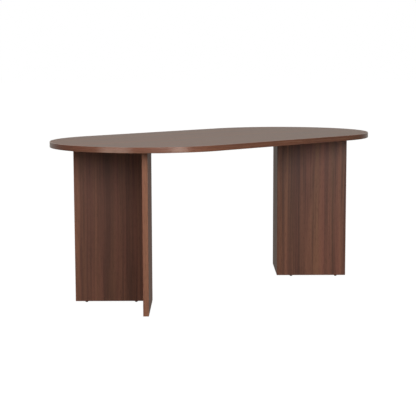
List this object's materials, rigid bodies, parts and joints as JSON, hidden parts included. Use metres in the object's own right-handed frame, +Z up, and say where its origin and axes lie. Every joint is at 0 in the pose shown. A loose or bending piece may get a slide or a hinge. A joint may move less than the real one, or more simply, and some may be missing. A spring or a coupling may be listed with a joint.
{
  "type": "dining table",
  "caption": "Oval dining table: racetrack board top with edge band, carried by V-shaped panel legs on small levelling feet, open between and beyond the legs for seated knees.",
  "frame": {"origin": "on the floor, under the middle of the top", "axes": "+X along the table, +Y across it, +Z up"},
  "size_m": [1.7996, 0.9, 0.75],
  "materials": {
    "walnut_board": "satin walnut-decor melamine on particle board",
    "walnut_edge_band": "satin walnut-decor edge band",
    "beech_dowel": "raw beech",
    "black_steel": "black powder coat",
    "black_bolt": "black oxide",
    "zinc_steel": "zinc plated",
    "black_plastic": "moulded, matt"
  },
  "bodies": {
    "table": {"table_top": "walnut_board", "table_top_edge_band": "walnut_edge_band", "left_through_panel": "walnut_board", "left_through_panel_end_bands": "walnut_edge_band", "left_through_panel_bottom_band": "walnut_edge_band", "left_butt_panel": "walnut_board", "left_butt_panel_end_band": "walnut_edge_band", "left_butt_panel_bottom_band": "walnut_edge_band", "left_joint_dowels": "beech_dowel", "left_mounting_plate": "black_steel", "left_plate_screws": "zinc_steel", "left_top_bolts": "black_bolt", "left_top_inserts": "zinc_steel", "left_foot_sleeves": "zinc_steel", "right_through_panel": "walnut_board", "right_through_panel_end_bands": "walnut_edge_band", "right_through_panel_bottom_band": "walnut_edge_band", "right_butt_panel": "walnut_board", "right_butt_panel_end_band": "walnut_edge_band", "right_butt_panel_bottom_band": "walnut_edge_band", "right_joint_dowels": "beech_dowel", "right_mounting_plate": "black_steel", "right_plate_screws": "zinc_steel", "right_top_bolts": "black_bolt", "right_top_inserts": "zinc_steel", "right_foot_sleeves": "zinc_steel"},
    "left_through_inner_foot": {"left_through_inner_foot_pad": "black_plastic", "left_through_inner_foot_stem": "zinc_steel"},
    "left_through_outer_foot": {"left_through_outer_foot_pad": "black_plastic", "left_through_outer_foot_stem": "zinc_steel"},
    "left_butt_inner_foot": {"left_butt_inner_foot_pad": "black_plastic", "left_butt_inner_foot_stem": "zinc_steel"},
    "left_butt_outer_foot": {"left_butt_outer_foot_pad": "black_plastic", "left_butt_outer_foot_stem": "zinc_steel"},
    "right_through_inner_foot": {"right_through_inner_foot_pad": "black_plastic", "right_through_inner_foot_stem": "zinc_steel"},
    "right_through_outer_foot": {"right_through_outer_foot_pad": "black_plastic", "right_through_outer_foot_stem": "zinc_steel"},
    "right_butt_inner_foot": {"right_butt_inner_foot_pad": "black_plastic", "right_butt_inner_foot_stem": "zinc_steel"},
    "right_butt_outer_foot": {"right_butt_outer_foot_pad": "black_plastic", "right_butt_outer_foot_stem": "zinc_steel"}
  },
  "joints": [
    {"name": "left_through_inner_foot_adjust", "type": "slide", "parent": "table", "child": "left_through_inner_foot", "axis": [0, 0, -1], "range_m": [0, 0.008]},
    {"name": "left_through_outer_foot_adjust", "type": "slide", "parent": "table", "child": "left_through_outer_foot", "axis": [0, 0, -1], "range_m": [0, 0.008]},
    {"name": "left_butt_inner_foot_adjust", "type": "slide", "parent": "table", "child": "left_butt_inner_foot", "axis": [0, 0, -1], "range_m": [0, 0.008]},
    {"name": "left_butt_outer_foot_adjust", "type": "slide", "parent": "table", "child": "left_butt_outer_foot", "axis": [0, 0, -1], "range_m": [0, 0.008]},
    {"name": "right_through_inner_foot_adjust", "type": "slide", "parent": "table", "child": "right_through_inner_foot", "axis": [0, 0, -1], "range_m": [0, 0.008]},
    {"name": "right_through_outer_foot_adjust", "type": "slide", "parent": "table", "child": "right_through_outer_foot", "axis": [0, 0, -1], "range_m": [0, 0.008]},
    {"name": "right_butt_inner_foot_adjust", "type": "slide", "parent": "table", "child": "right_butt_inner_foot", "axis": [0, 0, -1], "range_m": [0, 0.008]},
    {"name": "right_butt_outer_foot_adjust", "type": "slide", "parent": "table", "child": "right_butt_outer_foot", "axis": [0, 0, -1], "range_m": [0, 0.008]}
  ]
}
